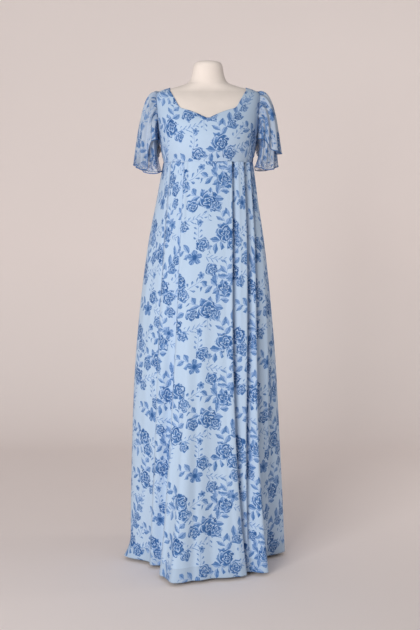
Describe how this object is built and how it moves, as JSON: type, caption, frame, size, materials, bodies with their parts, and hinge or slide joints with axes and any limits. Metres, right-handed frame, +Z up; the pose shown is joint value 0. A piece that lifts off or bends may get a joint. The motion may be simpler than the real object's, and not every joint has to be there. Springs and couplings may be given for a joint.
{
  "type": "maternity dress on a dress form",
  "caption": "Floor-length empire-line maternity dress in floral chiffon with tiered flutter sleeves, on a limbless dress form with a round foot.",
  "frame": {"origin": "the middle of the underside of the foot, on the floor", "axes": "+Z up, the dress faces -Y, and +X is the wearer's left"},
  "size_m": [0.5105, 0.4878, 1.541],
  "materials": {
    "printed_chiffon": "matt printed chiffon over a plain lining",
    "sheer_chiffon": "single see-through printed chiffon",
    "form_jersey": "fine cream jersey stretched over a hard form",
    "form_steel": "satin tube",
    "form_foot_paint": "satin off-white paint"
  },
  "bodies": {
    "root": {"bodice_front": "printed_chiffon", "bodice_back_left": "printed_chiffon", "bodice_back_right": "printed_chiffon", "skirt_front": "printed_chiffon", "skirt_back_left": "printed_chiffon", "skirt_back_right": "printed_chiffon", "sleeve_upper_left": "sheer_chiffon", "sleeve_lower_left": "sheer_chiffon", "sleeve_upper_right": "sheer_chiffon", "sleeve_lower_right": "sheer_chiffon", "form_torso": "form_jersey", "form_pole": "form_steel", "form_foot": "form_foot_paint"}
  },
  "joints": []
}
